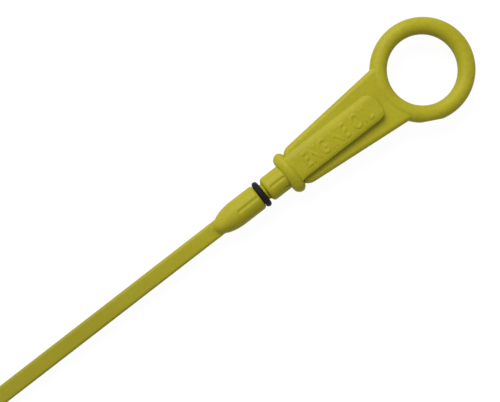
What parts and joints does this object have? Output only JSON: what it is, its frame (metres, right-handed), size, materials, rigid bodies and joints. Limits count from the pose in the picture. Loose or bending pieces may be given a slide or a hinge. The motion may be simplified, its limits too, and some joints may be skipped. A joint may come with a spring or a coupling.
{
  "type": "engine oil dipstick",
  "caption": "Moulded stick with a finger ring, a flat flag, a stop flange, a plug with a rubber seal and a flat blade, pushed down a tube to read an engine's oil level.",
  "frame": {"origin": "on the stick's axis, in the plane of the flange's blade-side face, which stops on the mouth of the dipstick tube", "axes": "+X along the stick towards the finger ring, the blade towards -X, the flat faces of the flag and the blade towards +Z and -Z"},
  "size_m": [0.3599, 0.0362, 0.012],
  "materials": {
    "olive_plastic": "satin moulded",
    "black_rubber": "satin"
  },
  "bodies": {
    "root": {"dipstick_moulding": "olive_plastic", "o_ring": "black_rubber"}
  },
  "joints": []
}
